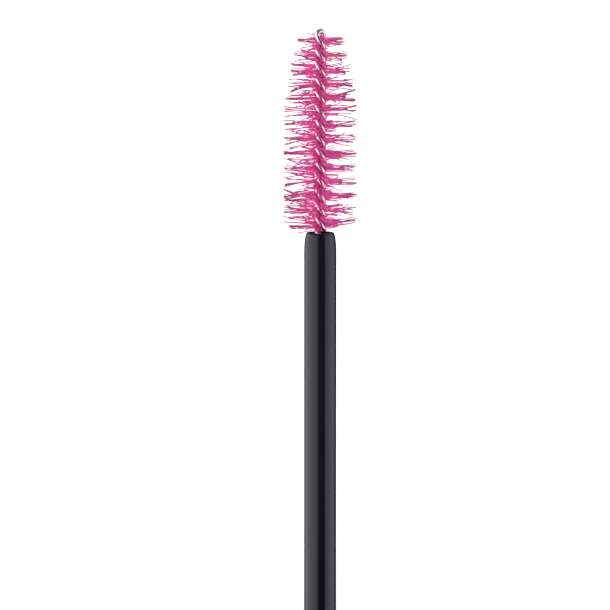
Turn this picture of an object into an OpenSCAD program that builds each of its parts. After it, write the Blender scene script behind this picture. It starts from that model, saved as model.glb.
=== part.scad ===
// Mascara pack, drawn open: a screw cap with its rod and twisted-wire brush, and the bottle it came out of.
// Both lie on a table. The pack's axis runs along +X, from the cap's closed end to the bottle's base.
// The origin is on the table, under the middle of the opened pack. Units are millimetres.

/* [Pack] */
// Width across the flats of the cap and the bottle
pack_w = 19; // [15:0.5:24]
// Corner radius of the cap and the bottle
pack_r = 4.5; // [3.5:0.25:6]
// Wall of the cap shell and the bottle sleeve
shell_wall = 1.3; // [1:0.1:1.8]
// Length of the cap
cap_l = 45; // [36:1:56]
// Gap between the brush and the bottle's mouth when the pack lies open
open_gap = 10; // [4:1:30]

/* [Rod and brush] */
// Diameter of the rod
stem_d = 4; // [3.2:0.1:4.8]
// Length of rod that shows beyond the cap's mouth
stem_reach = 49.8; // [38:0.2:60]
// Length of the rod's rounded shoulder
shoulder_l = 2.5; // [1:0.1:4]
// How far the shoulder draws in on each side
shoulder_drop = 0.4; // [0.2:0.05:0.8]
// Depth of the dish in the rod's end, round the wire
dish_depth = 0.35; // [0.1:0.05:0.5]
// Width of the flat rim round that dish
dish_rim = 0.25; // [0.15:0.05:0.4]
// Length of the brush, from the rod's end to the top of the wire loop
brush_l = 25.3; // [20:0.5:32]
// Diameter of the brush over its straight part
brush_d = 9.3; // [7:0.1:11.2]
// Diameter of the brush at its tip
brush_tip_d = 6; // [4:0.1:7.5]
// Length over which the brush narrows to its tip
brush_taper_l = 8; // [4:0.5:14]
// Diameter of the brush wire
wire_d = 0.66; // [0.5:0.02:0.8]
// Length of one full twist of the two wires
twist_l = 3.47; // [2.8:0.01:4.4]
// Place above the rod's end where the two wires first lie side by side, seen from above
first_crossing = 3.75; // [3:0.05:4.5]
// Length of wire held inside the rod
wire_socket_l = 8; // [5:0.5:12]
// Diameter of one bristle
bristle_d = 0.08; // [0.06:0.005:0.1]
// Bristles laid in for each full twist of the wires
bristles_per_twist = 34; // [20:1:36]

/* [Neck and closure] */
// Outer diameter of the bottle's neck
neck_d = 10; // [8.4:0.1:12]
// Length of the neck, from its rim to the bottle's shoulder
neck_l = 13.6; // [12:0.2:17]
// Wall of the neck
neck_wall = 1.2; // [1:0.05:1.5]
// Distance the cap moves in one full turn of the thread
thread_lead = 3; // [2.4:0.1:3.6]
// Height of the thread ridges
thread_h = 0.6; // [0.5:0.05:0.75]
// Turns of ridge on the neck
neck_thread_turns = 1.25; // [1.1:0.05:1.5]
// Thickness of the sealing washer
gasket_t = 1.2; // [1:0.1:1.6]
// Thickness of the trim ring
ring_t = 1.4; // [1:0.1:1.8]
// How far the trim ring stays inside the pack's flats
ring_inset = 1.1; // [0.6:0.1:1.6]

/* [Bottle and wiper] */
// Wall of the inner bottle
bottle_wall = 1.2; // [0.9:0.1:1.5]
// Wall of the wiper's tube and cone
wiper_wall = 0.6; // [0.45:0.05:0.75]
// Thickness of the wiper's flange
wiper_flange_t = 0.8; // [0.6:0.1:1.1]
// Length of the wiper's straight tube
wiper_tube_l = 5.2; // [4:0.2:6.4]
// Length of the wiper's cone
wiper_cone_l = 4.5; // [3.5:0.1:5.5]
// Length of the wiping lip
wiper_lip_l = 1; // [0.6:0.1:1.4]
// Room between the brush tip and the bottle's floor when closed
tip_room = 2; // [1:0.5:4]
// Thickness of the base plug's plate
plug_t = 1.6; // [1.2:0.1:2.2]
// Length of the base plug's spigot
plug_spigot_l = 2.4; // [1.5:0.1:4]
// Depth of the recess in the base
recess_depth = 0.5; // [0.3:0.05:0.7]
// Width of the rim that the pack stands on
stand_rim = 2; // [1.5:0.1:3]
// Thickness of the base label
label_t = 0.12; // [0.08:0.01:0.2]
// Margin between the base label and the rim
label_margin = 0.5; // [0.3:0.1:1]

/* [Cap insert] */
// Thickness of the insert's web
web_t = 2.8; // [2.4:0.1:3.6]
// Diameter of the rod's root, held in the insert's hub
root_d = 5; // [4.2:0.1:6]
// Length of the rod's root
root_l = 14; // [10:0.5:17]
// Diameter of the rod's flange
flange_d = 7; // [6.2:0.1:8]
// Thickness of the rod's flange
flange_t = 1; // [0.8:0.1:1.3]
// Wall of the insert's hub
hub_wall = 1.3; // [1:0.1:1.6]
// Width of the end disc across its flats
disc_w = 12.6; // [10:0.2:15]
// Corner radius of the end disc
disc_r = 2.6; // [2:0.1:3.4]
// Thickness of the end disc
disc_t = 0.8; // [0.6:0.1:1]

/* [Clearances] */
// Gap all round between fixed parts
fit_gap = 0.04; // [0.02:0.01:0.06]
// Gap all round between parts that run on each other
run_gap = 0.06; // [0.04:0.01:0.08]
// Gap between the cap's mouth, the trim ring and the shoulder
face_gap = 0.15; // [0.1:0.05:0.25]

/* [Hidden] */
$fn = 96;

// Thread ridges: width at the wall and at the crest, and how far they are rooted in the wall
ridge_base_w = thread_lead * 0.4;
ridge_crest_w = thread_lead * 0.2;
ridge_root = 0.2;
ridge_steps_per_turn = 30;
ridge_fade_steps = 3;
// The neck ridge starts this far from the neck's rim
ridge_start = 2.2;
// The radial gap between a crest and the wall that it faces
crest_gap = 0.2;

// Sizes across the pack
cavity_w = pack_w - 2 * shell_wall;
cavity_r = pack_r - shell_wall;
bottle_d = cavity_w - 2 * fit_gap;
bottle_bore = bottle_d - 2 * bottle_wall;
neck_bore = neck_d - 2 * neck_wall;
thread_d = neck_d + 2 * thread_h;
socket_d = thread_d + 2 * crest_gap;
socket_crest_d = neck_d + 2 * crest_gap;
ring_id = neck_d + 2 * run_gap;
ring_od = pack_w - 2 * ring_inset;
bead_d = socket_crest_d - 2 * run_gap;
bead_t = 0.5;
sleeve_front_t = 1.4;

// Places along the cap and brush, from the cap's mouth: the brush is on the positive side
gasket_d = socket_crest_d - 4 * run_gap;
closed_rim = -(neck_l + wiper_flange_t - ring_t - 2 * face_gap);
web_face = closed_rim - gasket_t - run_gap;
insert_inset = 0.3;
root_end = web_face - root_l;
hub_end = root_end + 1;
stem_end = stem_reach;
wire_top = stem_end + brush_l;
wire_start = stem_end - wire_socket_l;

// Places along the bottle, from the wiper's face: the base is on the positive side
neck_rim = wiper_flange_t;
shoulder = neck_rim + neck_l;
bottle_floor = wire_top - closed_rim + tip_room;
bottle_end = bottle_floor + bottle_wall;
sleeve_end = bottle_end + fit_gap + plug_spigot_l;
base_face = sleeve_end + plug_t;
recess_w = pack_w - 2 * stand_rim;
recess_r = pack_r - stand_rim;

// The opened pack along X
total_l = cap_l + wire_top + open_gap + base_face;
mouth_x = cap_l - total_l / 2;
rim_x = mouth_x + wire_top + open_gap;
axis_z = pack_w / 2;

// Twisted wire: the twist eases to a stop below the loop, so that the loop is plain
strand_r = wire_d / 2 + bristle_d / 2 + 0.01;
loop_base = wire_top - wire_d / 2 - strand_r;
ease_l = 0.5;
wire_sides = 7;
rings_per_twist = 12;
loop_rings = 8;

function clamp01(v) = min(1, max(0, v));
// Angle of the first strand at a place along the wire; the twist is left-handed
function strand_angle(s) =
    let (e = max(0, s - (loop_base - ease_l)))
    90 - 360 / twist_l * (s - stem_end - first_crossing - e * e / (2 * ease_l));
// Rate of turn at that place, in radians for each millimetre
function strand_rate(s) =
    let (e = max(0, s - (loop_base - ease_l)))
    -2 * PI / twist_l * (1 - e / ease_l);
// Radius of the brush at a place along it
function brush_radius(s) =
    let (t = clamp01((wire_top - 1.1 - s) / brush_taper_l))
    (brush_tip_d + (brush_d - brush_tip_d) * t) / 2;

// Puts a shape drawn along +Z on the pack's axis, measured from the cap's mouth
module from_mouth(s = 0) {
    translate([mouth_x + s, 0, axis_z])
        rotate([0, 90, 0])
            children();
}

// The same, measured from the wiper's face
module from_rim(s = 0) {
    translate([rim_x + s, 0, axis_z])
        rotate([0, 90, 0])
            children();
}

// Square outline with rounded corners
module soft_square(w, r) {
    square([w - 2 * r, w], center = true);
    square([w, w - 2 * r], center = true);
    for (x = [-1, 1], y = [-1, 1])
        translate([x * (w / 2 - r), y * (w / 2 - r)])
            circle(r);
}

// Bar of that outline between two places
module soft_bar(w, r, from, to) {
    translate([0, 0, from])
        linear_extrude(to - from)
            soft_square(w, r);
}

// Round bar between two places
module bar(d, from, to) {
    translate([0, 0, from])
        cylinder(h = to - from, d = d);
}

// Closed skin over a list of rings, each turning the same way about the sweep
module skin(rings) {
    n = len(rings[0]);
    last = len(rings) - 1;
    points = [for (ring = rings) each ring];
    sides = [for (i = [0:last - 1], j = [0:n - 1])
        let (a = i * n + j, b = i * n + (j + 1) % n)
        each [[a, a + n, b + n], [a, b + n, b]]];
    start_cap = [for (j = [0:n - 1]) j];
    end_cap = [for (j = [n - 1:-1:0]) last * n + j];
    polyhedron(points, concat(sides, [start_cap, end_cap]), convexity = 10);
}

// Helical ridge from angle 0, rising from place `from`; the crest may be outside or inside the wall
module thread_ridge(wall_r, outward, from, turns) {
    steps = round(turns * ridge_steps_per_turn);
    root = wall_r - outward * ridge_root;
    rings = [for (i = [0:steps])
        let (
            fade = clamp01(min(i, steps - i) / ridge_fade_steps),
            crest = root + outward * (ridge_root / 2 + (thread_h + ridge_root / 2) * fade),
            a = 360 * turns * i / steps,
            z = from + thread_lead * turns * i / steps,
            r_in = min(root, crest),
            r_out = max(root, crest),
            w_in = (outward > 0 ? ridge_base_w : ridge_crest_w) / 2,
            w_out = (outward > 0 ? ridge_crest_w : ridge_base_w) / 2
        )
        [for (p = [[r_in, w_in], [r_out, w_out], [r_out, -w_out], [r_in, -w_in]])
            [p[0] * cos(a), p[0] * sin(a), z + p[1]]]];
    skin(rings);
}

module cap_shell() {
    color("#17161c")
        from_mouth()
            difference() {
                soft_bar(pack_w, pack_r, -cap_l, 0);
                soft_bar(cavity_w, cavity_r, -cap_l + disc_t + shell_wall, 1);
                soft_bar(disc_w + 2 * fit_gap, disc_r + fit_gap, -cap_l - 1, -cap_l + disc_t + fit_gap);
            }
}

module cap_disc() {
    color("#d8488f")
        from_mouth()
            soft_bar(disc_w, disc_r, -cap_l, -cap_l + disc_t);
}

// Threaded socket for the neck, with a hub that holds the rod
module cap_insert() {
    color("#1d1c22")
        from_mouth() {
            difference() {
                union() {
                    bar(cavity_w - 2 * fit_gap, web_face - web_t, -insert_inset);
                    soft_bar(cavity_w - 2 * fit_gap, cavity_r - fit_gap, -insert_inset - 1.4, -insert_inset);
                    bar(root_d + 2 * fit_gap + 2 * hub_wall, hub_end, web_face - web_t + 1);
                }
                bar(socket_d, web_face, 1);
                bar(flange_d + 2 * fit_gap, web_face - flange_t - fit_gap, web_face + 1);
                bar(root_d + 2 * fit_gap, hub_end - 1, web_face);
            }
            thread_ridge(socket_d / 2, -1, closed_rim + ridge_start + thread_lead / 2, 1);
        }
}

// Sealing washer: it slides on the rod, and is trapped between the neck and the web when closed
module gasket() {
    color("#e9e7e2")
        from_mouth(closed_rim - gasket_t - run_gap / 2 + thread_lead)
            difference() {
                bar(gasket_d, 0, gasket_t);
                bar(stem_d + 4 * run_gap, -1, gasket_t + 1);
            }
}

// Rod with a rounded shoulder at the brush and a flanged root in the cap
module stem() {
    shoulder_steps = 8;
    barb = 0.25;
    hole_r = strand_r + wire_d / 2 + fit_gap;
    rim_r = stem_d / 2 - shoulder_drop - dish_rim;
    color("#222128")
        from_mouth()
            difference() {
                rotate_extrude()
                    polygon(concat(
                        [[0, root_end], [root_d / 2 - 2 * barb, root_end], [root_d / 2, root_end + 1.5],
                         [root_d / 2, root_end + 4], [root_d / 2 - barb, root_end + 4],
                         [root_d / 2 - barb, root_end + 5.5], [root_d / 2, root_end + 7],
                         [root_d / 2, web_face - flange_t], [flange_d / 2, web_face - flange_t],
                         [flange_d / 2, web_face], [stem_d / 2, web_face]],
                        [for (i = [0:shoulder_steps])
                            let (a = 90 * i / shoulder_steps)
                            [stem_d / 2 - shoulder_drop * (1 - cos(a)), stem_end - shoulder_l * (1 - sin(a))]],
                        [[rim_r, stem_end], [hole_r, stem_end - dish_depth], [0, stem_end - dish_depth]]));
                bar(2 * hole_r, wire_start - wire_d, stem_end + 1);
            }
}

// One wire, folded at the tip and twisted on itself: down one strand, round the loop and back up the other
module wire_core() {
    steps = ceil((loop_base - wire_start) / twist_l * rings_per_twist);
    strand = [for (i = [0:steps]) wire_start + (loop_base - wire_start) * i / steps];
    function ring(p, t, n) =
        let (b = cross(t, n))
        [for (j = [0:wire_sides - 1])
            let (a = 360 * j / wire_sides)
            p + wire_d / 2 * (cos(a) * n + sin(a) * b)];
    function along(s, side) =
        let (
            a = strand_angle(s) + (side > 0 ? 0 : 180),
            n = [cos(a), sin(a), 0],
            t = [-sin(a) * strand_r * strand_rate(s), cos(a) * strand_r * strand_rate(s), 1]
        )
        ring(strand_r * n + [0, 0, s], side * t / norm(t), n);
    top = [cos(strand_angle(loop_base)), sin(strand_angle(loop_base)), 0];
    loop = [for (i = [1:loop_rings - 1])
        let (
            a = 180 * i / loop_rings,
            n = cos(a) * top + [0, 0, sin(a)],
            t = -sin(a) * top + [0, 0, cos(a)]
        )
        ring(strand_r * n + [0, 0, loop_base], t, n)];
    color("#c9c9ce")
        from_mouth()
            skin(concat(
                [for (s = strand) along(s, 1)],
                loop,
                [for (i = [steps:-1:0]) along(strand[i], -1)]));
}

// Straight bristles, each gripped between the two strands
module bristles() {
    from = stem_end + 0.3;
    to = wire_top - 1.1;
    pitch = twist_l / bristles_per_twist;
    count = floor((to - from) / pitch);
    color("#d8488f")
        from_mouth()
            for (i = [0:count - 1])
                let (s = from + (i + 0.5) * pitch)
                translate([0, 0, s])
                    rotate([0, 0, strand_angle(s) + 90])
                        rotate([0, 90, 0])
                            cylinder(h = 2 * brush_radius(s), d = bristle_d, center = true, $fn = 16);
}

// Loose ring that turns on the neck, between a bead and the shoulder
module trim_ring() {
    edge = 0.3;
    color("#d8488f")
        from_rim(shoulder - face_gap - ring_t)
            rotate_extrude()
                polygon([[ring_id / 2, 0], [ring_od / 2 - edge, 0], [ring_od / 2, edge],
                         [ring_od / 2, ring_t - edge], [ring_od / 2 - edge, ring_t], [ring_id / 2, ring_t]]);
}

// Inner bottle with a threaded neck
module bottle() {
    inner_shoulder = shoulder + sleeve_front_t + fit_gap;
    bead_end = shoulder - 2 * face_gap - ring_t;
    neck_r = neck_d / 2;
    color("#2a2930")
        from_rim() {
            rotate_extrude()
                polygon([
                    [neck_bore / 2, neck_rim], [neck_r, neck_rim],
                    [neck_r, bead_end - bead_t], [bead_d / 2, bead_end - bead_t / 2], [bead_d / 2, bead_end],
                    [neck_r, bead_end], [neck_r, inner_shoulder],
                    [bottle_d / 2, inner_shoulder], [bottle_d / 2, bottle_end], [0, bottle_end],
                    [0, bottle_floor], [bottle_bore / 2, bottle_floor],
                    [bottle_bore / 2, inner_shoulder + 2.5], [neck_bore / 2, inner_shoulder]]);
            thread_ridge(neck_r, 1, ridge_start, neck_thread_turns);
        }
}

// Outer sleeve over the inner bottle
module bottle_sleeve() {
    color("#17161c")
        from_rim()
            difference() {
                soft_bar(pack_w, pack_r, shoulder, sleeve_end);
                soft_bar(cavity_w, cavity_r, shoulder + sleeve_front_t, sleeve_end + 1);
                bar(neck_d + 2 * fit_gap, shoulder - 1, sleeve_end);
            }
}

// Plug that closes the sleeve behind the bottle, with a shallow recess to stand on
module base_plug() {
    color("#1d1c22")
        from_rim()
            difference() {
                union() {
                    soft_bar(pack_w, pack_r, sleeve_end, base_face);
                    soft_bar(cavity_w - 2 * fit_gap, cavity_r - fit_gap, sleeve_end - plug_spigot_l, sleeve_end);
                }
                soft_bar(recess_w, recess_r, base_face - recess_depth, base_face + 1);
                bar(bottle_bore - 2, sleeve_end - plug_spigot_l - 1, sleeve_end - 0.4);
            }
}

// Blank paper label in the base's recess
module base_label() {
    color("#e9e7e2")
        from_rim(base_face - recess_depth)
            soft_bar(recess_w - 2 * label_margin, recess_r - label_margin, 0, label_t);
}

// Soft insert that wipes the rod and brush as they are drawn out
module wiper() {
    tube_r = neck_bore / 2 - fit_gap / 2;
    lip_r = stem_d / 2 + run_gap;
    flange_r = neck_d / 2 - 0.3;
    tube_end = neck_rim + wiper_tube_l;
    cone_end = tube_end + wiper_cone_l;
    lip_end = cone_end + wiper_lip_l;
    mouth_edge = 0.3;
    color("#f1efe9")
        from_rim()
            rotate_extrude()
                polygon([
                    [tube_r - wiper_wall + mouth_edge, 0], [flange_r, 0], [flange_r, neck_rim], [tube_r, neck_rim],
                    [tube_r, tube_end], [lip_r + wiper_wall, cone_end], [lip_r + wiper_wall, lip_end],
                    [lip_r, lip_end], [lip_r, cone_end], [tube_r - wiper_wall, tube_end],
                    [tube_r - wiper_wall, mouth_edge]]);
}

// Thick mascara that clings to the bottle's wall and leaves the channel made by the brush
module mascara_fill() {
    channel_room = 0.25;
    from = shoulder + sleeve_front_t + 4;
    to = bottle_floor - fit_gap;
    color("#0b0a0d")
        from_rim()
            difference() {
                bar(bottle_bore - 2 * fit_gap, from, to);
                bar(brush_d + 2 * channel_room, from - 1, to + 1);
            }
}

cap_shell();
cap_disc();
cap_insert();
gasket();
stem();
wire_core();
bristles();
trim_ring();
bottle();
bottle_sleeve();
base_plug();
base_label();
wiper();
mascara_fill();
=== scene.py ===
"""Mascara pack, drawn open: the looks of its brush, rod, cap and bottle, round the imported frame."""

import math
import random

import bpy
from mathutils import Matrix, Vector


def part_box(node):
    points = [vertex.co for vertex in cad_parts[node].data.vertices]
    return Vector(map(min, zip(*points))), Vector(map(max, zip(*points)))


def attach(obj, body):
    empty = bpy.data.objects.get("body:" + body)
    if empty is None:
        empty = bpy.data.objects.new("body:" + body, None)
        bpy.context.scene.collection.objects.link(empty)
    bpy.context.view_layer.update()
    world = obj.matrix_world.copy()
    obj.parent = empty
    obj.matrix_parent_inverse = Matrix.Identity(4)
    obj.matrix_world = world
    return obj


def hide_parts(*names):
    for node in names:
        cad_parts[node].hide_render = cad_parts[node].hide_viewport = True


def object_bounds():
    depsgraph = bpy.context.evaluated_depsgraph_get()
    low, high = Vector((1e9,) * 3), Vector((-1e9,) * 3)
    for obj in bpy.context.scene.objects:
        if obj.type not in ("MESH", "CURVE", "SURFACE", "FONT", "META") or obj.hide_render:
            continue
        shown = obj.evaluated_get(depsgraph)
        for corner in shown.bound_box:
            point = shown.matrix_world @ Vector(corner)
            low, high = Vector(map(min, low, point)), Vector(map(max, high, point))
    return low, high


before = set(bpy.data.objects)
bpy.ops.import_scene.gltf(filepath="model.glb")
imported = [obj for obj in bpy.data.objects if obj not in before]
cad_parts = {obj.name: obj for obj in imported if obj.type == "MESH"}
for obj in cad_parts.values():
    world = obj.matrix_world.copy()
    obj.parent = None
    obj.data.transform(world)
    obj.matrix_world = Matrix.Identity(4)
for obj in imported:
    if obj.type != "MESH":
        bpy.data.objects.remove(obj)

bl_info = {
    "name": "Mascara pack",
    "version": (1, 0, 0),
    "blender": (4, 5, 0),
    "location": "View3D > Sidebar > Mascara",
    "description": "Makes the brush, rod, cap and bottle of a mascara pack that lies open",
    "category": "Object",
}

MM = 0.001
LOWEST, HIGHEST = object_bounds()
AXIS_Z = (LOWEST.z + HIGHEST.z) / 2
PACK_W = HIGHEST.y - LOWEST.y
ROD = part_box("stem")
ROD_END = ROD[1].x
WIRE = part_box("wire_core")
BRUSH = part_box("bristles")
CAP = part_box("cap_shell")
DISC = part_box("cap_disc")
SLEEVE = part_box("bottle_sleeve")
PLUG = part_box("base_plug")
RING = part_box("trim_ring")

SEED = 11
TUFT_SIZES = (1, 1, 1, 2, 2, 3, 3, 4)
TUFT_PULL = (0.3, 1.0)
SHORT_REACH = (0.25, 0.66)
# Standard deviations of what varies from filament to filament. Turns are in radians. A lean is the
# distance along the axis for each unit of distance out from it.
TUFT_SHIFT = 0.1 * MM
TUFT_TURN = 0.25
TUFT_LEAN = 0.13
GRIP_TURN = 0.2
LONG_LEAN = 0.08
SHORT_LEAN = 0.22
BEND = 0.02
SWING = 0.03
TRIM = 0.02


def length(name, description, default, most=100.0):
    """A property that holds a length, given in millimetres."""
    return bpy.props.FloatProperty(
        name=name,
        description=description,
        default=default * MM,
        min=0.0,
        max=most * MM,
        precision=5,
        unit="LENGTH",
    )


def colour(name, description, default):
    """A property that holds a colour."""
    return bpy.props.FloatVectorProperty(
        name=name,
        description=description,
        default=default,
        min=0.0,
        max=1.0,
        size=3,
        subtype="COLOR",
    )


class BrushSettings(bpy.types.PropertyGroup):
    """Sizes and colours of the brush, its wire and the rod"""

    filaments: bpy.props.IntProperty(
        name="Filaments a twist",
        description="Nylon filaments laid in for each full twist of the wire",
        default=94,
        min=10,
        max=140,
    )
    filament_d: length("Filament", "Diameter of one nylon filament", 0.113)
    brush_d: length("Brush", "Diameter of the brush over its straight part", 9.3)
    tip_d: length("Tip", "Diameter of the brush at its tip", 6.0)
    taper_l: length("Taper", "Length over which the brush narrows to its tip", 8.0)
    wire_d: length("Wire", "Diameter of the wire", 0.66)
    strand_r: length("Strand radius", "Distance from the axis to each strand's middle", 0.38)
    twist_l: length("Twist", "Length of one full twist of the wire", 3.47)
    ease_l: length("Ease", "Length over which the twist stops below the loop", 0.5)
    first_crossing: length("First crossing", "Rod's end to the first crossing", 3.75)
    short_share: bpy.props.FloatProperty(
        name="Short filaments",
        description="Share of the filaments that end inside the brush",
        default=0.56,
        min=0.0,
        max=1.0,
        subtype="FACTOR",
    )
    nylon: colour("Nylon", "Colour of the filaments", (0.87, 0.17, 0.49))
    # The root colour is painted shade where the filaments crowd round the wire; it also tints the
    # nylon's painted glow.
    nylon_shade_and_glow: colour("Nylon, deep", "Colour at the filaments' roots", (0.52, 0.03, 0.21))
    nylon_tip: colour("Nylon, tips", "Colour at the filaments' tips", (0.30, 0.05, 0.165))
    steel: colour("Steel", "Colour of the wire", (0.82, 0.63, 0.74))

    def loop_start(self):
        """Where the two strands end and the loop begins, above the rod's end."""
        return WIRE[1].x - ROD_END - self.wire_d / 2 - self.strand_r


class PackSettings(bpy.types.PropertyGroup):
    """Sizes and colours of the rod, the cap and the bottle"""

    corner_r: length("Corner", "Radius of the pack's long corners", 4.5)
    wall: length("Wall", "Wall of the cap shell and the sleeve", 1.3)
    front_t: length("Front", "Thickness of the sleeve's front", 1.4)
    edge: length("Soft edge", "Radius of the moulded edges", 0.22)
    disc_r: length("Disc corner", "Radius of the end disc's corners", 2.6)
    fit: length("Fit", "Gap all round between fixed parts", 0.04)
    rim: length("Standing rim", "Width of the rim round the base's recess", 2.0)
    recess: length("Recess", "Depth of the base's recess", 0.5)
    spigot_wall: length("Spigot", "Wall of the plug's spigot and its gap", 1.34)
    root_l: length("Root", "Length of the rod's root", 14.0)
    root_d: length("Root diameter", "Diameter of the rod's root", 5.0)
    barb: length("Barb", "Height of the barb round the rod's root", 0.25)
    flange_t: length("Flange", "Thickness of the rod's flange", 1.0)
    rod_d: length("Rod", "Diameter of the rod", 4.0)
    shoulder_l: length("Shoulder", "Length of the rod's rounded shoulder", 2.5)
    shoulder_drop: length("Shoulder drop", "How far the shoulder draws in", 0.4)
    dish_rim: length("Dish rim", "Width of the rim round the rod's dish", 0.25)
    dish_depth: length("Dish depth", "Depth of the dish in the rod's end", 0.35)
    neck_d: length("Neck", "Diameter of the bottle's neck", 10.0)
    ring_fit: length("Ring's gap", "Gap between the loose ring and the neck", 0.06)
    ring_edge: length("Ring's edge", "Chamfer round the ring", 0.3)
    black: colour("Black", "Colour of the gloss black plastic", (0.008, 0.008, 0.011))
    satin: colour("Satin black", "Colour of the satin black plastic", (0.011, 0.0105, 0.017))
    metal: colour("Pink metal", "Colour of the anodised ring and disc", (0.83, 0.20, 0.44))


class StageSettings(bpy.types.PropertyGroup):
    """The floor, the light and the camera"""

    floor_w: bpy.props.FloatProperty(
        name="Floor",
        description="Width of the floor",
        default=9.0,
        min=1.0,
        unit="LENGTH",
    )
    floor_glow: bpy.props.FloatProperty(
        name="Floor's glow",
        description="Light that the floor gives by itself, which lifts it to white",
        default=0.76,
        min=0.0,
    )
    picture_w: length("Picture", "Width that the camera sees at the rod", 75.78)
    aim_back: length("Aim", "Rod's end to the middle of the picture", 9.07)
    aim_side: length("Aim, sideways", "Axis to the middle of the picture", 1.89)
    lens: bpy.props.FloatProperty(
        name="Lens",
        description="Focal length of the camera, in millimetres",
        default=300.0,
        min=20.0,
    )
    tilt: bpy.props.FloatProperty(
        name="Tilt",
        description="Lean of the camera from straight above, towards the brush",
        default=math.radians(7.1),
        subtype="ANGLE",
    )
    light: bpy.props.FloatProperty(
        name="Light",
        description="Strength of the light tent",
        default=1.85,
        min=0.0,
    )


class Value:
    """A shader socket. Arithmetic on it adds Math nodes."""

    def __init__(self, finish, socket):
        self.finish = finish
        self.socket = socket

    def _math(self, operation, first, second):
        return self.finish.node("ShaderNodeMath", {"operation": operation}, {0: first, 1: second})

    def __add__(self, other):
        return self._math("ADD", self, other)

    def __radd__(self, other):
        return self._math("ADD", other, self)

    def __sub__(self, other):
        return self._math("SUBTRACT", self, other)

    def __rsub__(self, other):
        return self._math("SUBTRACT", other, self)

    def __mul__(self, other):
        return self._math("MULTIPLY", self, other)

    def __rmul__(self, other):
        return self._math("MULTIPLY", other, self)

    def __truediv__(self, other):
        return self._math("DIVIDE", self, other)


class Finish:
    """A material, or the world, with its nodes made from Python."""

    def __init__(self, holder):
        self.holder = holder
        holder.use_nodes = True
        self.tree = holder.node_tree
        self.tree.nodes.clear()

    def node(self, kind, settings=None, inputs=None, out=0):
        """Adds a node, sets it and fills its sockets. `out` names the outputs that it returns."""
        made = self.tree.nodes.new(kind)
        for key, value in (settings or {}).items():
            if key == "stops":
                set_stops(made.color_ramp, value)
            else:
                setattr(made, key, value)
        for key, value in (inputs or {}).items():
            if isinstance(value, Value):
                self.tree.links.new(value.socket, made.inputs[key])
            else:
                made.inputs[key].default_value = value
        if isinstance(out, tuple):
            return [Value(self, made.outputs[key]) for key in out]
        return Value(self, made.outputs[out]) if made.outputs else None

    def place(self, stretch=(1.0, 1.0, 1.0)):
        """The surface's own coordinates in millimetres, stretched along each axis."""
        where = self.node("ShaderNodeTexCoord", out="Object")
        scale = tuple(s / MM for s in stretch)
        return self.node("ShaderNodeMapping", inputs={"Vector": where, "Scale": scale})

    def noise(self, size, detail=2.0, stretch=(1.0, 1.0, 1.0)):
        """A soft random pattern from 0 to 1 whose blotches are about `size` millimetres across."""
        sockets = {"Vector": self.place(stretch), "Scale": 1 / size, "Detail": detail}
        return self.node("ShaderNodeTexNoise", inputs=sockets)

    def mix(self, factor, first, second, blend="MIX"):
        """A blend of two colours."""
        settings = {"data_type": "RGBA", "blend_type": blend}
        return self.node("ShaderNodeMix", settings, {0: factor, 6: first, 7: second}, out=2)

    def spread(self, value, low, high, to_low=0.0, to_high=1.0):
        """Maps a value from one range onto another, and stops at the ends."""
        sockets = {0: value, 1: low, 2: high, 3: to_low, 4: to_high}
        return self.node("ShaderNodeMapRange", {"clamp": True}, sockets)

    def bump(self, height, depth, strength=1.0, under=None):
        """A relief of the given depth in millimetres."""
        sockets = {"Height": height, "Distance": depth * MM, "Strength": strength}
        if under:
            sockets["Normal"] = under
        return self.node("ShaderNodeBump", inputs=sockets)

    def surface(self, **sockets):
        """Ends a material with the Principled shader, its sockets named in lower case."""
        named = {}
        for key, value in sockets.items():
            named[key.replace("_", " ").title().replace("Ior", "IOR")] = value
        shader = self.node("ShaderNodeBsdfPrincipled", inputs=named)
        self.node("ShaderNodeOutputMaterial", inputs={"Surface": shader})
        return self.holder


def set_stops(ramp, stops):
    """Gives a colour ramp its stops, each a position and a colour or a grey."""
    while len(ramp.elements) > 1:
        ramp.elements.remove(ramp.elements[-1])
    for n, (position, value) in enumerate(stops):
        stop = ramp.elements[0] if n == 0 else ramp.elements.new(position)
        stop.position = position
        stop.color = (value, value, value, 1.0) if isinstance(value, float) else (*value, 1.0)


def new_finish(name):
    """A node maker for a new material."""
    return Finish(bpy.data.materials.new(name))


def shaded(rgb, share=1.0):
    """A colour as a shader takes it, made darker or lighter."""
    return tuple(min(1.0, c * share) for c in rgb) + (1.0,)


def nylon_finish(brush):
    """Pink nylon: darkened by painted shade at the roots, greyer towards the tips, each filament
    different, and lit by a faint painted glow.
    """
    finish = new_finish("pink_nylon")
    reach = finish.node("ShaderNodeAttribute", {"attribute_name": "reach"}, out="Fac")
    tone = finish.node("ShaderNodeAttribute", {"attribute_name": "tone"}, out="Fac")
    # Painted shade: the filaments darken towards their roots by the wire.
    past_root_shade = finish.spread(reach, 0.05, 0.22)
    body = finish.mix(past_root_shade, shaded(brush.nylon_shade_and_glow), shaded(brush.nylon))
    varied = finish.mix(tone, shaded(brush.nylon, 0.66), shaded(brush.nylon, 1.22))
    coloured = finish.mix(0.6, body, varied)
    worn = finish.spread(reach, 0.4, 0.95, 0.0, 0.85)
    tipped = finish.mix(worn, coloured, shaded(brush.nylon_tip))
    grain = finish.noise(0.06, 1.0)
    return finish.surface(
        base_color=tipped,
        roughness=grain * 0.12 + 0.34,
        normal=finish.bump(grain, 0.004, 0.4),
        specular_ior_level=0.25,
        # Painted glow: the nylon gives a faint light of its own, in the root shade's colour, standing
        # in for light that passes through the tufts.
        emission_color=shaded(brush.nylon_shade_and_glow, 1.1),
        emission_strength=0.18,
    )


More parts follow.
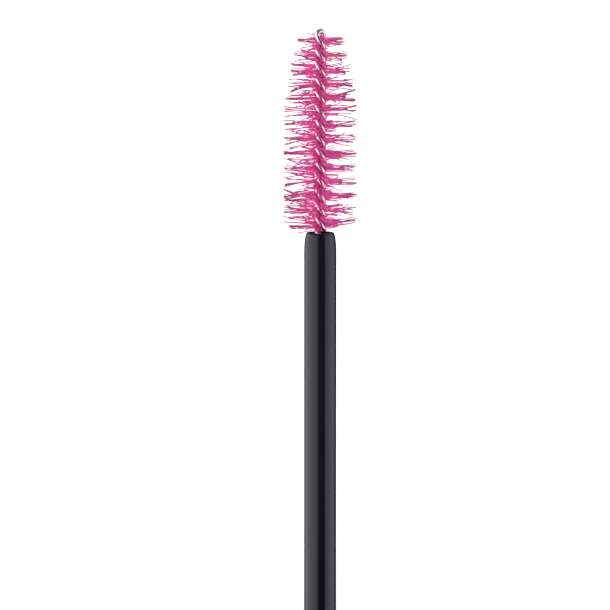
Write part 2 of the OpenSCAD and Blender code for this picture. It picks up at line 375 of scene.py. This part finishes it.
def steel_finish(brush):
    """Bright drawn steel wire, with faint lengthwise die lines and duller patches."""
    finish = new_finish("drawn_steel")
    lines = finish.noise(0.05, 2.0, (0.15, 1.0, 1.0))
    patches = finish.noise(0.9, 3.0)
    tint = finish.mix(patches, shaded(brush.steel, 0.86), shaded(brush.steel))
    return finish.surface(
        base_color=tint,
        metallic=1.0,
        roughness=patches * 0.1 + 0.13,
        normal=finish.bump(lines, 0.006, 0.35),
    )


def satin_finish(name, rgb, smooth=0.24):
    """Satin black plastic: an eroded mould texture and faint flow lines along the part."""
    finish = new_finish(name)
    flow = finish.noise(0.5, 3.0, (0.08, 1.0, 1.0))
    erosion = finish.noise(0.07, 2.0)
    cloud = finish.noise(2.6, 3.0)
    tint = finish.mix(cloud, shaded(rgb, 0.8), shaded(rgb, 1.25))
    relief = finish.bump(flow, 0.006, 0.3)
    return finish.surface(
        base_color=tint,
        specular_tint=(0.85, 0.83, 1.0, 1.0),
        roughness=flow * 0.08 + (cloud * 0.05 + smooth),
        normal=finish.bump(erosion, 0.002, 0.35, relief),
    )


def gloss_finish(name, rgb):
    """Polished black plastic under a clear lacquer, with hairlines and a trace of handling."""
    finish = new_finish(name)
    hair = finish.noise(0.05, 1.0, (0.04, 1.0, 1.0))
    scratches = finish.spread(hair, 0.66, 0.74)
    handling = finish.noise(4.0, 4.0)
    smudge = finish.spread(handling, 0.5, 0.72)
    ripple = finish.noise(7.0, 1.0)
    return finish.surface(
        base_color=finish.mix(smudge, shaded(rgb, 0.9), shaded(rgb, 1.15)),
        roughness=smudge * 0.025 + (scratches * 0.06 + 0.07),
        normal=finish.bump(ripple, 0.02, 0.15),
        specular_ior_level=0.35,
        coat_weight=0.3,
        coat_roughness=0.05,
    )


def anodised_finish(rgb):
    """Pink anodised aluminium, brushed round its axis."""
    finish = new_finish("pink_anodised")
    brushed = finish.noise(0.06, 2.0, (1.0, 0.12, 0.12))
    cloud = finish.noise(3.0, 2.0)
    tint = finish.mix(cloud, shaded(rgb, 0.85), shaded(rgb, 1.05))
    return finish.surface(
        base_color=finish.mix(brushed * 0.35, tint, shaded(rgb, 0.7)),
        metallic=1.0,
        roughness=brushed * 0.16 + 0.2,
        normal=finish.bump(brushed, 0.004, 0.5),
    )


def elastomer_finish(name, rgb, pores):
    """Soft off-white moulding: a fine skin, or a foam with open pores."""
    finish = new_finish(name)
    cells = finish.node(
        "ShaderNodeTexVoronoi",
        {"feature": "F1"},
        {"Vector": finish.place(), "Scale": 1 / pores},
    )
    cloud = finish.noise(1.5, 3.0)
    tint = finish.mix(cloud, shaded(rgb, 0.92), shaded(rgb, 1.04))
    return finish.surface(
        base_color=tint,
        roughness=cloud * 0.1 + 0.45,
        normal=finish.bump(cells, pores * 0.15, 0.4),
    )


def paper_finish():
    """Blank coated label stock with a faint fibre."""
    finish = new_finish("label_stock")
    fibre = finish.noise(0.12, 4.0, (1.0, 0.4, 1.0))
    return finish.surface(
        base_color=finish.mix(fibre, (0.74, 0.73, 0.71, 1.0), (0.84, 0.83, 0.81, 1.0)),
        roughness=fibre * 0.15 + 0.4,
        normal=finish.bump(fibre, 0.01, 0.4),
    )


def paste_finish():
    """Wet black mascara, raked by the brush."""
    finish = new_finish("mascara_paste")
    rakes = finish.noise(0.35, 3.0, (1.0, 0.3, 0.3))
    return finish.surface(
        base_color=finish.mix(rakes, (0.004, 0.004, 0.005, 1.0), (0.012, 0.01, 0.012, 1.0)),
        roughness=rakes * 0.2 + 0.12,
        normal=finish.bump(rakes, 0.15, 0.8),
    )


def clear_selection():
    """Leaves edit mode and deselects everything."""
    active = bpy.context.view_layer.objects.active
    if active and active.mode != "OBJECT":
        bpy.ops.object.mode_set(mode="OBJECT")
    bpy.ops.object.select_all(action="DESELECT")


def take(piece):
    """Makes the piece the only one selected, and the active one."""
    clear_selection()
    piece.select_set(True)
    bpy.context.view_layer.objects.active = piece


def select(piece, kind, wanted):
    """Selects the faces or the edges of a piece that pass a test, and leaves it in edit mode."""
    bpy.ops.object.mode_set(mode="EDIT")
    bpy.ops.mesh.select_mode(type=kind)
    bpy.ops.mesh.select_all(action="DESELECT")
    bpy.ops.object.mode_set(mode="OBJECT")
    for item in piece.data.polygons if kind == "FACE" else piece.data.edges:
        item.select = wanted(item)
    bpy.ops.object.mode_set(mode="EDIT")


def facing(direction):
    """A test for faces that look along the axis, in that direction."""
    return lambda face: face.normal.x * direction > 0.9


def soft_block(name, start, end, width, radius, steps=14):
    """A bar along the axis, square with rounded long corners."""
    clear_selection()
    bpy.ops.mesh.primitive_cube_add(
        size=1, location=((start + end) / 2, 0, AXIS_Z), scale=(end - start, width, width)
    )
    piece = bpy.context.object
    piece.name = name
    bpy.ops.object.transform_apply(location=True, rotation=True, scale=True)
    points = piece.data.vertices

    def is_long(edge):
        first, second = (points[n].co for n in edge.vertices)
        return abs(first.x - second.x) > (end - start) / 2

    select(piece, "EDGE", is_long)
    bpy.ops.mesh.bevel(offset=radius, segments=steps, affect="EDGES")
    bpy.ops.object.mode_set(mode="OBJECT")
    return piece


def sink(piece, direction, margin, depth):
    """Insets the end face on that side and pushes it in, or out if depth is negative."""
    select(piece, "FACE", facing(direction))
    bpy.ops.mesh.inset(thickness=margin, use_even_offset=True)
    bpy.ops.mesh.extrude_region_move(
        TRANSFORM_OT_translate={"value": (-direction * depth, 0, 0)}
    )
    bpy.ops.object.mode_set(mode="OBJECT")


def cut(piece, cutter):
    """Takes the cutter's shape out of the piece."""
    take(piece)
    modifier = piece.modifiers.new("cut", "BOOLEAN")
    modifier.operation = "DIFFERENCE"
    modifier.solver = "EXACT"
    modifier.object = cutter
    bpy.ops.object.modifier_apply(modifier=modifier.name)
    bpy.data.objects.remove(cutter)


def soften(piece, width, segments=3, limit=35):
    """Rounds the sharp edges and smooths the shading between them."""
    take(piece)
    modifier = piece.modifiers.new("soft edges", "BEVEL")
    modifier.width = width
    modifier.segments = segments
    modifier.limit_method = "ANGLE"
    modifier.angle_limit = math.radians(limit)
    bpy.ops.object.modifier_apply(modifier=modifier.name)
    bpy.ops.object.shade_smooth_by_angle(angle=math.radians(limit))
    modifier = piece.modifiers.new("flat faces", "WEIGHTED_NORMAL")
    modifier.keep_sharp = True
    bpy.ops.object.modifier_apply(modifier=modifier.name)


def turned(name, stations, sides=96, closed=False):
    """A body turned about the axis through stations of place and radius, as on a lathe."""
    clear_selection()
    x, radius = stations[0]
    bpy.ops.mesh.primitive_circle_add(
        vertices=sides,
        radius=radius,
        fill_type="NOTHING" if closed else "NGON",
        location=(x, 0, AXIS_Z),
        rotation=(0, math.pi / 2, 0),
    )
    piece = bpy.context.object
    piece.name = name
    bpy.ops.object.transform_apply(location=True, rotation=True, scale=True)
    bpy.ops.object.mode_set(mode="EDIT")
    bpy.ops.mesh.select_all(action="SELECT")
    extrude = bpy.ops.mesh.extrude_edges_move if closed else bpy.ops.mesh.extrude_region_move
    route = stations[1:] + stations[:1] if closed else stations[1:]
    for next_x, next_radius in route:
        extrude(TRANSFORM_OT_translate={"value": (next_x - x, 0, 0)})
        share = next_radius / radius
        bpy.ops.transform.resize(value=(1, share, share), center_override=(next_x, 0, AXIS_Z))
        x, radius = next_x, next_radius
    bpy.ops.mesh.select_all(action="SELECT")
    bpy.ops.mesh.remove_doubles(threshold=0.001 * MM)
    bpy.ops.mesh.normals_make_consistent(inside=False)
    bpy.ops.object.mode_set(mode="OBJECT")
    return piece


def settle(piece, body, slot, material, *nodes):
    """Gives a finished piece its finish, its body and the nodes that it stands for."""
    piece.data.materials.clear()
    piece.data.materials.append(material)
    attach(piece, body)
    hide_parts(*nodes)


def strand_angle(brush, place):
    """Angle of the first strand at a place above the rod's end. The twist is left-handed."""
    past = max(0.0, place - (brush.loop_start() - brush.ease_l))
    turned_l = place - brush.first_crossing - past * past / (2 * brush.ease_l)
    return math.pi / 2 - 2 * math.pi / brush.twist_l * turned_l


def round_axis(place, angle, radius):
    """The point at a place above the rod's end, an angle round the axis and a distance from it."""
    return Vector(
        (ROD_END + place, radius * math.sin(angle), AXIS_Z - radius * math.cos(angle))
    )


def wire_path(brush, steps_per_twist=26, loop_steps=18):
    """The wire's centre line: up one strand, round the loop and down the other."""
    start = WIRE[0].x - ROD_END + brush.wire_d * 0.25
    end = brush.loop_start()
    steps = math.ceil((end - start) / brush.twist_l * steps_per_twist)
    places = [start + (end - start) * n / steps for n in range(steps + 1)]
    up = [round_axis(s, strand_angle(brush, s), brush.strand_r) for s in places]
    down = [round_axis(s, strand_angle(brush, s) + math.pi, brush.strand_r) for s in places]
    loop = []
    for n in range(1, loop_steps):
        turn = math.pi * n / loop_steps
        rise = brush.strand_r * math.sin(turn)
        loop.append(
            round_axis(end + rise, strand_angle(brush, end), brush.strand_r * math.cos(turn))
        )
    return up + loop + down[::-1]


def brush_radius(brush, place):
    """Radius of the trimmed brush at a place above the rod's end."""
    share = min(1.0, max(0.0, (BRUSH[1].x - ROD_END - place) / brush.taper_l))
    return (brush.tip_d + (brush.brush_d - brush.tip_d) * share) / 2


def tufts(rng, places, angles):
    """Gathers neighbouring filaments into tufts that lean together. Returns each one's tuft."""
    found = []
    while len(found) < len(places):
        first = len(found)
        size = min(rng.choice(TUFT_SIZES), len(places) - first)
        middle = first + size // 2
        tuft = {
            "place": places[middle] + rng.gauss(0, TUFT_SHIFT),
            "angle": angles[middle] + rng.gauss(0, TUFT_TURN),
            "lean": rng.gauss(0, TUFT_LEAN),
            "pull": rng.uniform(*TUFT_PULL),
        }
        found += [tuft] * size
    return found


def half_filament(rng, brush, place, angle, tuft, rings):
    """Points from the wire out to one tip, each with its share of the brush's radius."""
    radius = brush_radius(brush, place) - brush.filament_d / 2
    reach = 1 - abs(rng.gauss(0, TRIM))
    lean = rng.gauss(0, LONG_LEAN)
    if rng.random() < brush.short_share:
        reach = rng.uniform(*SHORT_REACH)
        lean = rng.gauss(0, SHORT_LEAN)
    bend = rng.gauss(0, BEND)
    swing = rng.gauss(0, SWING)
    top = BRUSH[1].x - ROD_END + 0.5 * MM
    points = []
    for n in range(rings):
        share = (n + 0.35) / (rings - 0.65)
        out = radius * reach * share
        pull = tuft["pull"] * reach * share
        own = place + out * (lean + bend * share)
        along = own + pull * (tuft["place"] + out * tuft["lean"] - own)
        # No filament lies on the rod's shoulder or stands far past the end of the brush.
        along = min(top, max(along, (0.1 + 0.25 * share) * MM))
        turn = angle + pull * (tuft["angle"] - angle) + swing * share * share
        points.append((round_axis(along, turn, out), reach * share))
    return points


def add_tube(mesh, path, thickness, tone, sides=5):
    """Adds a thin tube along a path to the lists of a mesh."""
    base = len(mesh["points"])
    for n, (centre, share) in enumerate(path):
        ahead = path[min(n + 1, len(path) - 1)][0] - path[max(n - 1, 0)][0]
        across = ahead.cross(Vector((1, 0, 0))).normalized()
        up = ahead.cross(across).normalized()
        radius = thickness / 2 * (1 + 0.1 * share * share)
        for k in range(sides):
            turn = 2 * math.pi * k / sides
            mesh["points"].append(centre + radius * (math.cos(turn) * across + math.sin(turn) * up))
            mesh["reach"].append(share)
            mesh["tone"].append(tone)
    for n in range(len(path) - 1):
        for k in range(sides):
            a = base + n * sides + k
            b = base + n * sides + (k + 1) % sides
            mesh["faces"].append((a, b, b + sides, a + sides))
    last = base + (len(path) - 1) * sides
    mesh["faces"].append(tuple(base + k for k in reversed(range(sides))))
    mesh["faces"].append(tuple(last + k for k in range(sides)))


class MASCARA_OT_bristles(bpy.types.Operator):
    """Makes the nylon filaments that the twisted wire grips"""

    bl_idname = "mascara.bristles"
    bl_label = "Bristles"

    def execute(self, context):
        brush = context.scene.mascara_brush
        rng = random.Random(SEED)
        pitch = brush.twist_l / brush.filaments
        start = BRUSH[0].x - ROD_END
        count = int((BRUSH[1].x + 0.2 * MM - ROD_END - start) / pitch)
        places = [start + (n + 0.5 + rng.uniform(-0.3, 0.3)) * pitch for n in range(count)]
        angles = [strand_angle(brush, s) + math.pi / 2 + rng.gauss(0, GRIP_TURN) for s in places]
        sides = [tufts(rng, places, angles) for _ in range(2)]
        mesh = {"points": [], "faces": [], "reach": [], "tone": []}
        for n in range(count):
            halves = []
            for side in range(2):
                tuft = dict(sides[side][n])
                tuft["angle"] += side * math.pi
                angle = angles[n] + side * math.pi
                halves.append(half_filament(rng, brush, places[n], angle, tuft, 8))
            path = halves[0][::-1] + halves[1]
            add_tube(mesh, path, brush.filament_d, rng.random())
        data = bpy.data.meshes.new("nylon_bristles")
        data.from_pydata(mesh["points"], [], mesh["faces"])
        for name in ("reach", "tone"):
            data.attributes.new(name, "FLOAT", "POINT").data.foreach_set("value", mesh[name])
        piece = bpy.data.objects.new("nylon_bristles", data)
        context.scene.collection.objects.link(piece)
        take(piece)
        bpy.ops.object.mode_set(mode="EDIT")
        bpy.ops.mesh.select_all(action="SELECT")
        bpy.ops.mesh.normals_make_consistent(inside=False)
        bpy.ops.object.mode_set(mode="OBJECT")
        bpy.ops.object.shade_smooth_by_angle(angle=math.radians(75))
        settle(piece, "wand", "bristle_nylon", nylon_finish(brush), "bristles")
        return {"FINISHED"}


class MASCARA_OT_wire(bpy.types.Operator):
    """Makes the folded and twisted wire"""

    bl_idname = "mascara.wire"
    bl_label = "Twisted wire"

    def execute(self, context):
        brush = context.scene.mascara_brush
        clear_selection()
        path = wire_path(brush)
        curve = bpy.data.curves.new("twisted_wire", "CURVE")
        curve.dimensions = "3D"
        spline = curve.splines.new("POLY")
        spline.points.add(len(path) - 1)
        for point, place in zip(spline.points, path):
            point.co = (*place, 1.0)
        spline.use_smooth = True
        curve.bevel_depth = brush.wire_d / 2
        curve.bevel_resolution = 5
        curve.use_fill_caps = True
        piece = bpy.data.objects.new("twisted_wire", curve)
        context.scene.collection.objects.link(piece)
        take(piece)
        bpy.ops.object.convert(target="MESH")
        piece = context.object
        bpy.ops.object.shade_smooth_by_angle(angle=math.radians(50))
        settle(piece, "wand", "wire_steel", steel_finish(brush), "wire_core")
        return {"FINISHED"}


class MASCARA_OT_rod(bpy.types.Operator):
    """Makes the rod, with its flanged root, rounded shoulder and dished end"""

    bl_idname = "mascara.rod"
    bl_label = "Rod"

    def execute(self, context):
        pack = context.scene.mascara_pack
        brush = context.scene.mascara_brush
        start, end = ROD[0].x, ROD[1].x
        seat = start + pack.root_l
        root_r, rod_r = pack.root_d / 2, pack.rod_d / 2
        flange_r = (ROD[1].z - ROD[0].z) / 2
        # Millimetres from the rod's hidden end, and how deep the surface lies there, in barbs.
        barbed = ((0, 2), (1.5, 0), (4, 0), (4.01, 1), (5.5, 1), (7, 0))
        stations = [(start + x * MM, root_r - depth * pack.barb) for x, depth in barbed]
        stations += [(seat - pack.flange_t, root_r), (seat - pack.flange_t, flange_r)]
        stations += [(seat, flange_r), (seat, rod_r)]
        steps = 16
        for n in range(steps + 1):
            turn = math.pi / 2 * n / steps
            x = end - pack.shoulder_l * (1 - math.sin(turn))
            stations.append((x, rod_r - pack.shoulder_drop * (1 - math.cos(turn))))
        rim_r = rod_r - pack.shoulder_drop
        hole_r = brush.strand_r + brush.wire_d / 2 + pack.fit
        stations += [(end, rim_r - pack.dish_rim)]
        stations += [(end - pack.dish_depth * 0.6, hole_r + 0.2 * MM)]
        stations += [(end - pack.dish_depth, hole_r), (WIRE[0].x - 0.3 * MM, hole_r)]
        piece = turned("satin_rod", stations)
        soften(piece, 0.12 * MM, 4, 40)
        settle(piece, "wand", "black_satin", satin_finish("rod_satin", pack.satin, 0.08), "stem")
        return {"FINISHED"}


class MASCARA_OT_cap(bpy.types.Operator):
    """Makes the cap's shell and the metal disc in its closed end"""

    bl_idname = "mascara.cap"
    bl_label = "Cap"

    def execute(self, context):
        pack = context.scene.mascara_pack
        disc_w = DISC[1].y - DISC[0].y
        disc_t = DISC[1].x - DISC[0].x
        shell = soft_block("cap_cover", CAP[0].x, CAP[1].x, PACK_W, pack.corner_r)
        depth = CAP[1].x - CAP[0].x - disc_t - pack.wall
        sink(shell, 1, pack.wall, depth)
        seat = soft_block(
            "seat",
            CAP[0].x - disc_t,
            DISC[1].x + pack.fit,
            disc_w + 2 * pack.fit,
            pack.disc_r + pack.fit,
        )
        cut(shell, seat)
        soften(shell, pack.edge)
        gloss = gloss_finish("cap_gloss", pack.black)
        settle(shell, "wand", "black_gloss", gloss, "cap_shell")
        disc = soft_block("end_disc", DISC[0].x, DISC[1].x, disc_w, pack.disc_r)
        soften(disc, pack.edge * 0.6)
        settle(disc, "wand", "pink_metal", anodised_finish(pack.metal), "cap_disc")
        return {"FINISHED"}


class MASCARA_OT_bottle(bpy.types.Operator):
    """Makes the bottle's sleeve and its base plug"""

    bl_idname = "mascara.bottle"
    bl_label = "Bottle sleeve and plug"

    def execute(self, context):
        pack = context.scene.mascara_pack
        sleeve = soft_block("bottle_cover", SLEEVE[0].x, SLEEVE[1].x, PACK_W, pack.corner_r)
        sink(sleeve, 1, pack.wall, SLEEVE[1].x - SLEEVE[0].x - pack.front_t)
        neck_r = pack.neck_d / 2 + pack.fit
        hole = turned(
            "hole",
            [(SLEEVE[0].x - pack.front_t, neck_r), (SLEEVE[0].x + 2 * pack.front_t, neck_r)],
        )
        cut(sleeve, hole)
        soften(sleeve, pack.edge)
        gloss = gloss_finish("sleeve_gloss", pack.black)
        settle(sleeve, "bottle", "black_gloss", gloss, "bottle_sleeve")
        plug = soft_block("foot_plug", SLEEVE[1].x, PLUG[1].x, PACK_W, pack.corner_r)
        sink(plug, -1, pack.spigot_wall, -(SLEEVE[1].x - PLUG[0].x))
        sink(plug, 1, pack.rim, pack.recess)
        soften(plug, pack.edge)
        satin = satin_finish("plug_satin", pack.satin)
        settle(plug, "bottle", "black_satin", satin, "base_plug")
        return {"FINISHED"}


class MASCARA_OT_ring(bpy.types.Operator):
    """Makes the loose metal ring on the neck"""

    bl_idname = "mascara.ring"
    bl_label = "Trim ring"

    def execute(self, context):
        pack = context.scene.mascara_pack
        outer = (RING[1].z - RING[0].z) / 2
        inner = pack.neck_d / 2 + pack.ring_fit
        edge = pack.ring_edge
        start, end = RING[0].x, RING[1].x
        stations = [(start, inner), (start, outer - edge), (start + edge, outer)]
        stations += [(end - edge, outer), (end, outer - edge), (end, inner)]
        piece = turned("neck_ring", stations, 128, closed=True)
        soften(piece, 0.1 * MM, 3, 25)
        settle(piece, "ring", "pink_metal", anodised_finish(pack.metal), "trim_ring")
        return {"FINISHED"}


class MASCARA_OT_finishes(bpy.types.Operator):
    """Gives the parts that stay as they are their finishes"""

    bl_idname = "mascara.finishes"
    bl_label = "Inner parts' finishes"

    def execute(self, context):
        pack = context.scene.mascara_pack
        finishes = {
            "cap_insert": satin_finish("insert_satin", pack.satin, 0.3),
            "gasket": elastomer_finish("foam_liner", (0.78, 0.77, 0.74), 0.09),
            "bottle": satin_finish("vial_satin", pack.satin, 0.28),
            "base_label": paper_finish(),
            "wiper": elastomer_finish("wiper_skin", (0.84, 0.83, 0.80), 0.05),
            "mascara_fill": paste_finish(),
        }
        for node, material in finishes.items():
            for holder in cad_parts[node].material_slots:
                holder.material = material
        return {"FINISHED"}


def light_tent(stage):
    """The world: a white tent with dark strips overhead and below. The camera sees plain white."""
    world = bpy.data.worlds.new("light_tent")
    bpy.context.scene.world = world
    finish = Finish(world)
    way = finish.node("ShaderNodeTexCoord", out="Generated")
    along, across, up = finish.node("ShaderNodeSeparateXYZ", None, {0: way}, out=(0, 1, 2))
    turn = finish.node("ShaderNodeMath", {"operation": "ARCTAN2"}, {0: across * -1.0, 1: up})
    place = turn / (2 * math.pi) + 0.5
    # Brightness at angles round the pack's axis: 0 is overhead, and 90 is the picture's right.
    degrees = [(-180, 0.0), (-150, 0.0), (-134, 0.45), (-118, 1.0), (-90, 1.0), (-70, 1.0)]
    degrees += [(-50, 0.8), (-24, 0.66), (-11, 0.0), (30, 0.0), (43, 0.6), (60, 0.7)]
    degrees += [(80, 0.85), (100, 0.72), (118, 0.45), (128, 0.15), (139, 0.0), (180, 0.0)]
    stops = [(d / 360 + 0.5, float(v)) for d, v in degrees]
    tent = finish.node("ShaderNodeValToRGB", {"stops": stops}, {"Fac": place}, out="Color")
    behind = finish.mix(finish.spread(along, -0.7, -0.9), tent, (0.9, 0.9, 0.9, 1.0))
    ahead = finish.spread(along, 0.35, 0.8) * finish.spread(up, -0.3, -0.12)
    glow = finish.mix(ahead, behind, (0.02, 0.02, 0.02, 1.0))
    lit = finish.node("ShaderNodeBackground", inputs={"Color": glow, "Strength": stage.light})
    plain = finish.node("ShaderNodeBackground", inputs={"Color": (1, 1, 1, 1), "Strength": 1.0})
    seen = finish.node("ShaderNodeLightPath", out="Is Camera Ray")
    both = finish.node("ShaderNodeMixShader", inputs={0: seen, 1: lit, 2: plain})
    finish.node("ShaderNodeOutputWorld", inputs={"Surface": both})


def studio_camera(stage):
    """A long lens over the rod's end. It looks down, with the pack's +X upwards in the picture."""
    lens = bpy.data.cameras.new("studio_camera")
    lens.lens = stage.lens
    lens.sensor_width = 36.0
    lens.clip_start = 0.01
    lens.clip_end = 50.0
    camera = bpy.data.objects.new("studio_camera", lens)
    bpy.context.scene.collection.objects.link(camera)
    right = Vector((0, -1, 0))
    back = Vector((math.sin(stage.tilt), 0, math.cos(stage.tilt)))
    up = back.cross(right)
    target = Vector((ROD_END - stage.aim_back, stage.aim_side, AXIS_Z))
    camera.location = target + back * (stage.picture_w * stage.lens / lens.sensor_width)
    camera.rotation_euler = Matrix((right, up, back)).transposed().to_euler()
    return camera


class MASCARA_OT_stage(bpy.types.Operator):
    """Makes the floor, the light tent and the camera"""

    bl_idname = "mascara.stage"
    bl_label = "Stage"

    def execute(self, context):
        stage = context.scene.mascara_stage
        clear_selection()
        bpy.ops.mesh.primitive_plane_add(size=stage.floor_w, location=(0, 0, LOWEST.z))
        floor = context.object
        floor.name = "white_floor"
        bpy.ops.object.transform_apply(location=True, rotation=True, scale=True)
        finish = new_finish("white_card")
        grain = finish.noise(1.2, 3.0)
        card = finish.surface(
            base_color=finish.mix(grain, (0.91, 0.91, 0.91, 1), (0.93, 0.93, 0.93, 1)),
            roughness=0.9,
            specular_ior_level=0.0,
            emission_color=(1.0, 1.0, 1.0, 1.0),
            emission_strength=stage.floor_glow,
        )
        floor.data.materials.append(card)
        floor.visible_glossy = False
        light_tent(stage)
        context.scene.camera = studio_camera(stage)
        context.scene.view_settings.view_transform = "Standard"
        context.scene.view_settings.look = "None"
        return {"FINISHED"}


OPERATORS = (
    MASCARA_OT_stage,
    MASCARA_OT_wire,
    MASCARA_OT_bristles,
    MASCARA_OT_rod,
    MASCARA_OT_cap,
    MASCARA_OT_bottle,
    MASCARA_OT_ring,
    MASCARA_OT_finishes,
)
GROUPS = (
    ("mascara_brush", BrushSettings),
    ("mascara_pack", PackSettings),
    ("mascara_stage", StageSettings),
)


class MASCARA_PT_panel(bpy.types.Panel):
    """Lists the pieces in the sidebar"""

    bl_label = "Mascara pack"
    bl_space_type = "VIEW_3D"
    bl_region_type = "UI"
    bl_category = "Mascara"

    def draw(self, context):
        for name, group in GROUPS:
            for key in group.__annotations__:
                self.layout.prop(getattr(context.scene, name), key)
        for operator in OPERATORS:
            self.layout.operator(operator.bl_idname)


def register():
    for name, group in GROUPS:
        bpy.utils.register_class(group)
        setattr(bpy.types.Scene, name, bpy.props.PointerProperty(type=group))
    for item in (*OPERATORS, MASCARA_PT_panel):
        bpy.utils.register_class(item)


def unregister():
    for item in (MASCARA_PT_panel, *reversed(OPERATORS)):
        bpy.utils.unregister_class(item)
    for name, group in reversed(GROUPS):
        delattr(bpy.types.Scene, name)
        bpy.utils.unregister_class(group)


def main():
    register()
    for operator in OPERATORS:
        family, name = operator.bl_idname.split(".")
        getattr(getattr(bpy.ops, family), name)()


if __name__ == "__main__":
    main()
